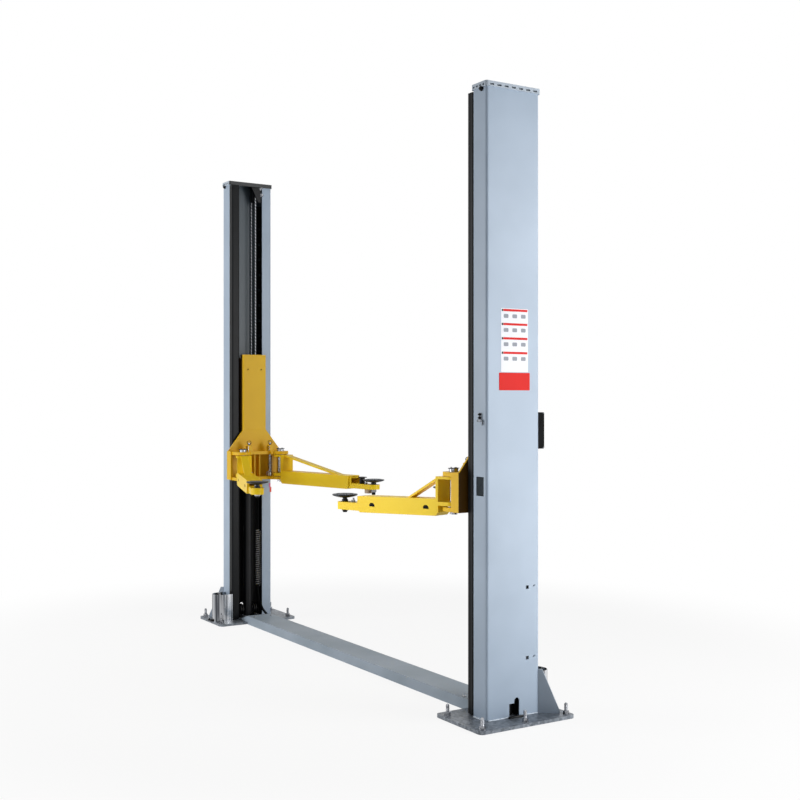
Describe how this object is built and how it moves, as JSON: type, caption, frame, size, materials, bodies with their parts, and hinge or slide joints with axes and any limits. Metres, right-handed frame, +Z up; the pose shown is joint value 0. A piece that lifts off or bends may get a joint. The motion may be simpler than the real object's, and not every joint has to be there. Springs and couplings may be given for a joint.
{
  "type": "two post car lift",
  "caption": "Two post car lift: facing C columns on anchored base plates, yellow carriages with swinging telescopic arms and screw pads, floor cover, equaliser cables and hydraulic cylinders.",
  "frame": {"origin": "on the floor, at the centre of the lift's footprint, midway between the columns", "axes": "X from the left column to the right column, Y across the bay from the short arms to the long arms, Z up"},
  "size_m": [3.12, 0.8185, 2.824],
  "materials": {
    "column_paint": "gloss",
    "zinc_plate": "satin",
    "bright_steel": "polished",
    "cover_paint": "gloss",
    "yellow_paint": "gloss",
    "black_paint": "satin",
    "rubber": "matt",
    "wear_block": "matt",
    "cable_steel": "satin",
    "hose_rubber": "matt",
    "brass": "satin",
    "box_plastic": "matt"
  },
  "bodies": {
    "stand": {"column_right": "column_paint", "cap_right": "column_paint", "base_plate_right": "zinc_plate", "lift_cylinder_right": "black_paint", "column_left": "column_paint", "cap_left": "column_paint", "base_plate_left": "zinc_plate", "lift_cylinder_left": "black_paint", "base_gussets": "zinc_plate", "pulley_shrouds": "bright_steel", "door_guards": "rubber", "lock_racks": "column_paint", "lock_releases": "bright_steel", "anchor_bolts": "bright_steel", "floor_cover": "cover_paint", "top_pulleys": "black_paint", "base_pulleys": "black_paint", "pulley_brackets": "column_paint", "equaliser_cables": "cable_steel", "hydraulic_hose": "hose_rubber", "hose_unions": "brass", "control_box": "box_plastic"},
    "carriage_right": {"carriage_right": "yellow_paint", "slide_blocks_right": "wear_block", "arm_pins_right": "bright_steel", "arm_locks_right": "bright_steel"},
    "rod_right": {"cylinder_rod_right": "bright_steel"},
    "arm_right_front": {"outer_arm_right_front": "yellow_paint"},
    "extension_right_front": {"inner_arm_right_front": "yellow_paint"},
    "pad_right_front": {"pad_right_front": "rubber"},
    "arm_right_rear": {"outer_arm_right_rear": "yellow_paint"},
    "extension_right_rear": {"inner_arm_right_rear": "yellow_paint"},
    "pad_right_rear": {"pad_right_rear": "rubber"},
    "carriage_left": {"carriage_left": "yellow_paint", "slide_blocks_left": "wear_block", "arm_pins_left": "bright_steel", "arm_locks_left": "bright_steel"},
    "rod_left": {"cylinder_rod_left": "bright_steel"},
    "arm_left_front": {"outer_arm_left_front": "yellow_paint"},
    "extension_left_front": {"inner_arm_left_front": "yellow_paint"},
    "pad_left_front": {"pad_left_front": "rubber"},
    "arm_left_rear": {"outer_arm_left_rear": "yellow_paint"},
    "extension_left_rear": {"inner_arm_left_rear": "yellow_paint"},
    "pad_left_rear": {"pad_left_rear": "rubber"}
  },
  "joints": [
    {"name": "lift_right", "type": "slide", "parent": "stand", "child": "carriage_right", "axis": [0, 0, 1], "range_m": [-0.8, 0.95]},
    {"name": "lift_left", "type": "slide", "parent": "stand", "child": "carriage_left", "axis": [0, 0, 1], "range_m": [-0.8, 0.95]},
    {"name": "rod_slide_right", "type": "slide", "parent": "stand", "child": "rod_right", "axis": [0, 0, 1], "range_m": [-0.4, 0.475]},
    {"name": "rod_slide_left", "type": "slide", "parent": "stand", "child": "rod_left", "axis": [0, 0, 1], "range_m": [-0.4, 0.475]},
    {"name": "swing_right_front", "type": "hinge", "parent": "carriage_right", "child": "arm_right_front", "pos_m": [1.166, -0.13, 0.95], "axis": [0, 0, 1], "range_deg": [-17.4, 72.6]},
    {"name": "extend_right_front", "type": "slide", "parent": "arm_right_front", "child": "extension_right_front", "axis": [-0.9539, -0.2989, -0.0286], "range_m": [-0.05, 0.3]},
    {"name": "pad_height_right_front", "type": "slide", "parent": "extension_right_front", "child": "pad_right_front", "axis": [0, 0, 1], "range_m": [0, 0.04]},
    {"name": "swing_right_rear", "type": "hinge", "parent": "carriage_right", "child": "arm_right_rear", "pos_m": [1.166, 0.13, 0.95], "axis": [0, 0, -1], "range_deg": [-16, 74]},
    {"name": "extend_right_rear", "type": "slide", "parent": "arm_right_rear", "child": "extension_right_rear", "axis": [-0.9613, 0.2756, 0], "range_m": [0, 0.26]},
    {"name": "pad_height_right_rear", "type": "slide", "parent": "extension_right_rear", "child": "pad_right_rear", "axis": [0, 0, 1], "range_m": [0, 0.04]},
    {"name": "swing_left_front", "type": "hinge", "parent": "carriage_left", "child": "arm_left_front", "pos_m": [-1.166, -0.13, 0.95], "axis": [0, 0, -1], "range_deg": [-17.4, 72.6]},
    {"name": "extend_left_front", "type": "slide", "parent": "arm_left_front", "child": "extension_left_front", "axis": [0.9539, -0.2989, -0.0286], "range_m": [-0.05, 0.3]},
    {"name": "pad_height_left_front", "type": "slide", "parent": "extension_left_front", "child": "pad_left_front", "axis": [0, 0, 1], "range_m": [0, 0.04]},
    {"name": "swing_left_rear", "type": "hinge", "parent": "carriage_left", "child": "arm_left_rear", "pos_m": [-1.166, 0.13, 0.95], "axis": [0, 0, 1], "range_deg": [-12, 78]},
    {"name": "extend_left_rear", "type": "slide", "parent": "arm_left_rear", "child": "extension_left_rear", "axis": [0.9781, 0.2079, 0], "range_m": [-0.05, 0.2]},
    {"name": "pad_height_left_rear", "type": "slide", "parent": "extension_left_rear", "child": "pad_left_rear", "axis": [0, 0, 1], "range_m": [0, 0.04]}
  ],
  "couplings": [
    {"joint": "lift_left", "follows": "lift_right", "ratio": 1},
    {"joint": "rod_slide_right", "follows": "lift_right", "ratio": 0.5},
    {"joint": "rod_slide_left", "follows": "lift_right", "ratio": 0.5}
  ]
}
